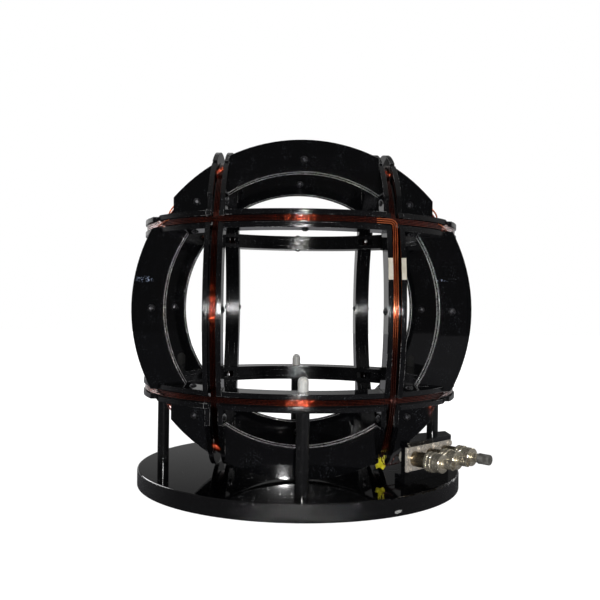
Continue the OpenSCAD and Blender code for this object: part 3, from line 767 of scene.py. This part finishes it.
def crossing_way(side, level, strand):
    """A wire of a Y coil where it comes up at the corner over the Z coil's plate."""
    bulge = 1.2 if side > 0 else 0.3
    way = []
    for degrees, radius in ((47, 167.2), (44, 168.9), (41, 169.7 + bulge / 2),
                            (38, 170 + bulge), (35.6, 169.6 + bulge), (34.3, 168.4)):
        angle = math.radians(degrees)
        way.append((side * radius * math.cos(angle), -87.2 + 1.35 * strand,
                    195 + level * radius * math.sin(angle)))
    return way


def stray_way(side, level, strand):
    """A wire of a Z coil that lies aslant over its neighbours at the same corner."""
    way = []
    for degrees, radius, rise in ((37.6, 172.6, 89.2), (36.4, 173.9, 88.6), (34.2, 174.3, 86.6),
                                  (32.0, 174.2, 84.6), (30.4, 172.8, 83.4)):
        angle = math.radians(degrees + 0.5 * strand)
        way.append((side * radius * math.cos(angle), -radius * math.sin(angle),
                    195 + level * rise))
    return way


def lead_enamel_lit_and_shaded():
    """The same wire, painted brighter than the windings as if lit, brighter still where it has been
    handled, and painted dark below the coils as shade.
    """
    paint, place = start_paint("enamelled lead, painted lit above and shaded below")
    handled = place.noise(60.0, 3.0).ramp(0.3, 0.7)
    height = place.node("ShaderNodeSeparateXYZ", {}, {"Vector": place}, "Z")
    # Below 0.15 to 0.2 m high the wire is painted dark as shade; above, its bright enamel is painted
    # as lit.
    painted_lit_above = height.ramp(0.15, 0.2)
    enamel = handled.mix((0.5, 0.085, 0.025, 1), (0.85, 0.22, 0.07, 1))
    colour = painted_lit_above.mix((0.07, 0.014, 0.008, 1), enamel)
    return finish_paint(paint, Base_Color=colour, Roughness=0.2, Metallic=0.65,
                        Coat_Weight=1.0, Coat_Roughness=0.07)


def wires_along(ways):
    """Round enamelled wires 1.1 mm thick, one along each list of points in mm."""
    shell = bmesh.new()
    for way in ways:
        curve = bpy.data.curves.new("way", "CURVE")
        curve.dimensions = "3D"
        curve.bevel_depth = 0.55 * MM
        curve.bevel_resolution = 2
        curve.use_fill_caps = True
        curve.resolution_u = 4
        spline = curve.splines.new("BEZIER")
        spline.bezier_points.add(len(way) - 1)
        for knot, point in zip(spline.bezier_points, way):
            knot.co = Vector(point) * MM
            knot.handle_left_type = "AUTO"
            knot.handle_right_type = "AUTO"
        holder = bpy.data.objects.new("way", curve)
        bpy.context.scene.collection.objects.link(holder)
        bpy.context.view_layer.update()
        tube = bpy.data.meshes.new_from_object(holder)
        shell.from_mesh(tube)
        bpy.data.objects.remove(holder)
        bpy.data.curves.remove(curve)
        bpy.data.meshes.remove(tube)
    bmesh.ops.remove_doubles(shell, verts=shell.verts, dist=0.002 * MM)
    bmesh.ops.recalc_face_normals(shell, faces=shell.faces)
    shade(shell, 60)
    return shell


lead_paint_lit_and_shaded = lead_enamel_lit_and_shaded()
leads = wires_along([lead_way(number) for number in range(3)])
add_piece("connecting_leads", leads, [lead_paint_lit_and_shaded], stands_for=["lead_wires"])
strays = []
for side, level in ((-1, 1), (1, 1), (-1, -1), (1, -1)):
    for strand in (-1, 0, 1):
        strays.append(crossing_way(side, level, strand))
        strays.append(stray_way(side, level, strand))
# The corner strands share this paint, painted lit above and shaded below.
add_piece("corner_strands", wires_along(strays), [lead_paint_lit_and_shaded])

# Tape flag: yellow plastic tape pinched round the leads where they leave the channel. Its
# free ends are creased, and its top edge dips between the two plates.


def yellow_tape():
    """Creased plastic tape, dulled and darkened in patches of grime."""
    paint, place = start_paint("yellow tape")
    crease = place.stretched((1.0, 1.0, 0.4)).noise(330.0, 4.0, 0.65)
    grime = place.noise(120.0, 3.0).ramp(0.45, 0.8)
    colour = (grime * 0.7).mix((0.78, 0.7, 0.03, 1), (0.34, 0.3, 0.04, 1))
    return finish_paint(paint, Base_Color=colour, Roughness=0.32 + 0.2 * grime,
                        Normal=crease.bump(0.5, 0.0006))


tape = copy_of("tape_flag")
bmesh.ops.triangulate(tape, faces=tape.faces)
for cut in range(4):
    long_edges = [edge for edge in tape.edges if edge.calc_length() > 1.4 * MM]
    bmesh.ops.subdivide_edges(tape, edges=long_edges, cuts=1)
    bmesh.ops.triangulate(tape, faces=tape.faces)
for vert in tape.verts:
    loose = min(1, max(0, (42 * MM - vert.co.z) / (6 * MM)))
    fold = noise.noise(vert.co * 260) + 0.5 * noise.noise(vert.co * 620)
    vert.co.y += 2.6 * MM * loose * fold
    sag = abs(vert.co.x - 86.2 * MM) / (3.1 * MM)
    if vert.co.z > 38 * MM:
        vert.co.z -= (vert.co.z - 38 * MM) * 0.8 * (1 - min(1, sag))
    vert.co.x += 0.7 * MM * loose * noise.noise(vert.co * 300 + Vector((9, 0, 0)))
bmesh.ops.recalc_face_normals(tape, faces=tape.faces)
shade(tape, 30)
add_piece("tape_tab", tape, [yellow_tape()], stands_for=["tape_flag"])

# Labels: two blank strips of cream paper, stuck on the front rims of the right X coil beside
# the leads.


def label_paper():
    """Uncoated paper, a little yellowed, with its fibres just visible."""
    paint, place = start_paint("cream paper")
    fibre = place.noise(1500.0, 4.0, 0.7)
    aged = place.noise(90.0, 3.0).ramp(0.35, 0.8)
    colour = (aged * 0.7).mix((0.66, 0.62, 0.52, 1), (0.5, 0.43, 0.33, 1))
    return finish_paint(paint, Base_Color=colour, Roughness=0.75,
                        Normal=fibre.bump(0.3, 0.0001))


labels = copy_of("rim_labels")
shade(labels, 30)
add_piece("paper_labels", labels, [label_paper()], stands_for=["rim_labels"])

# Studio: a pale floor under the base, a small light beside the camera, soft ones above and
# behind, and a white background. The black acrylic is a mirror, so what it sees of the floor
# and the surround is toned down to the dim room that the real one reflects.


def pale_floor():
    """Plain pale paint that meets the background's white but keeps the shadow."""
    paint = bpy.data.materials.new("pale floor")
    paint.use_nodes = True
    tree = paint.node_tree
    tree.nodes.clear()
    start = Signal(tree)
    seen = start.node("ShaderNodeLightPath", {}, {}, "Is Camera Ray")
    mirrored = start.node("ShaderNodeLightPath", {}, {}, "Is Glossy Ray")
    through = start.node("ShaderNodeLightPath", {}, {}, "Is Transmission Ray")
    direct = seen.maths("MAXIMUM", seen, through)
    chalk = start.node("ShaderNodeBsdfDiffuse", {}, {"Color": (0.62, 0.62, 0.62, 1)})
    white = start.node("ShaderNodeEmission", {}, {"Color": (1, 1, 1, 1), "Strength": 1.55})
    spot = start.node("ShaderNodeTexCoord", {}, {}, "Object")
    away = spot.node("ShaderNodeVectorMath", {"operation": "LENGTH"}, {0: spot}, "Value")
    share = direct * (0.62 + 0.16 * away.ramp(0.22, 0.6))
    seen_floor = start.node("ShaderNodeMixShader", {}, {0: share, 1: chalk, 2: white})
    right = start.node("ShaderNodeSeparateXYZ", {}, {"Vector": spot}, "X").ramp(0.2, 0.45)
    behind = start.node("ShaderNodeSeparateXYZ", {}, {"Vector": spot}, "Y").ramp(-0.1, 0.6)
    pale = right.maths("MAXIMUM", right, behind * (1.0 - right))
    tone = pale.mix((0.07, 0.07, 0.075, 1), (0.2, 0.2, 0.21, 1))
    dim = start.node("ShaderNodeEmission", {}, {"Color": tone})
    blend = start.node("ShaderNodeMixShader", {}, {0: mirrored, 1: seen_floor, 2: dim})
    output = tree.nodes.new("ShaderNodeOutputMaterial")
    tree.links.new(blend.output, output.inputs["Surface"])
    return paint


sheet = bmesh.new()
bmesh.ops.create_grid(sheet, x_segments=1, y_segments=1, size=4.0)
floor_mesh = bpy.data.meshes.new("floor")
sheet.to_mesh(floor_mesh)
sheet.free()
floor_mesh.materials.append(pale_floor())
floor = bpy.data.objects.new("floor", floor_mesh)
bpy.context.scene.collection.objects.link(floor)

world = bpy.data.worlds.new("surround")
bpy.context.scene.world = world
world.use_nodes = True
tree = world.node_tree
start = Signal(tree)
direction = start.node("ShaderNodeTexCoord", {}, {}, "Generated")
sideways = start.node("ShaderNodeSeparateXYZ", {}, {"Vector": direction}, "X")
depth = start.node("ShaderNodeSeparateXYZ", {}, {"Vector": direction}, "Y")
height = start.node("ShaderNodeSeparateXYZ", {}, {"Vector": direction}, "Z")
seen = start.node("ShaderNodeLightPath", {}, {}, "Is Camera Ray")
through = start.node("ShaderNodeLightPath", {}, {}, "Is Transmission Ray")
direct = seen.maths("MAXIMUM", seen, through)
behind = depth.ramp(-0.1, 0.5)
backdrop = 1.0 - height.ramp(0.05, 0.3)
skyline = height.ramp(0.26, 0.36) * (1.0 - height.ramp(0.4, 0.52))
ceiling = height.ramp(0.5, 0.85)
left = 1.0 - sideways.ramp(-0.05, 0.2)
right = sideways.ramp(0.6, 0.9)
aside = sideways * sideways
wings = aside.ramp(0.05, 0.12) * (1.0 - aside.ramp(0.45, 0.6))
wall = left * (0.3 * backdrop + 0.34 * skyline) + wings * (0.3 * backdrop)
tone = 0.05 + behind * wall + 0.15 * right + 0.03 * ceiling
level = direct + (1.0 - direct) * tone
colour = level.mix((0, 0, 0, 1), (1, 1, 1, 1))
background = tree.nodes["Background"]
tree.links.new(colour.output, background.inputs["Color"])


def soft_light(name, place, aim, width, height, power):
    """A rectangle of light, sized in metres, that faces the aim."""
    lamp = bpy.data.lights.new(name, "AREA")
    lamp.shape = "RECTANGLE"
    lamp.size = width
    lamp.size_y = height
    lamp.energy = power
    stand = bpy.data.objects.new(name, lamp)
    bpy.context.scene.collection.objects.link(stand)
    away = (Vector(place) - Vector(aim)).normalized()
    stand.matrix_world = Matrix.Translation(place) @ away.to_track_quat("Z", "Y").to_matrix().to_4x4()


soft_light("light by the camera", (-0.013, -0.9, 0.205), (0, 0, 0.19), 0.016, 0.009, 4.0)
soft_light("light above", (-0.2, 0.1, 1.7), (0, 0, 0.2), 3.0, 3.0, 2.8)
soft_light("light behind, left", (-1.3, 1.6, 1.1), (0, 0, 0.2), 0.8, 0.8, 12.0)
soft_light("light behind, right", (1.3, 1.6, 1.1), (0, 0, 0.2), 0.8, 0.8, 8.0)

# The camera stands where a perspective fit of the photograph puts it, a little to the left of
# the coils' centre and almost level with it.
CAMERA_PLACE = (-0.02299, -0.8931, 0.20461)
CAMERA_PAN = -0.02564
CAMERA_TILT = 0.00059
CAMERA_ROLL = 0.01263
camera = bpy.data.objects.new("camera", bpy.data.cameras.new("camera"))
camera.data.sensor_width = 36
camera.data.lens = 46.625
bpy.context.scene.collection.objects.link(camera)
bpy.context.scene.camera = camera
stood = Matrix.Translation(CAMERA_PLACE) @ Matrix.Rotation(CAMERA_PAN, 4, "Z")
level_view = Matrix.Rotation(math.pi / 2 + CAMERA_TILT, 4, "X")
camera.matrix_world = stood @ level_view @ Matrix.Rotation(CAMERA_ROLL, 4, "Z")
bpy.context.scene.view_settings.view_transform = "Standard"
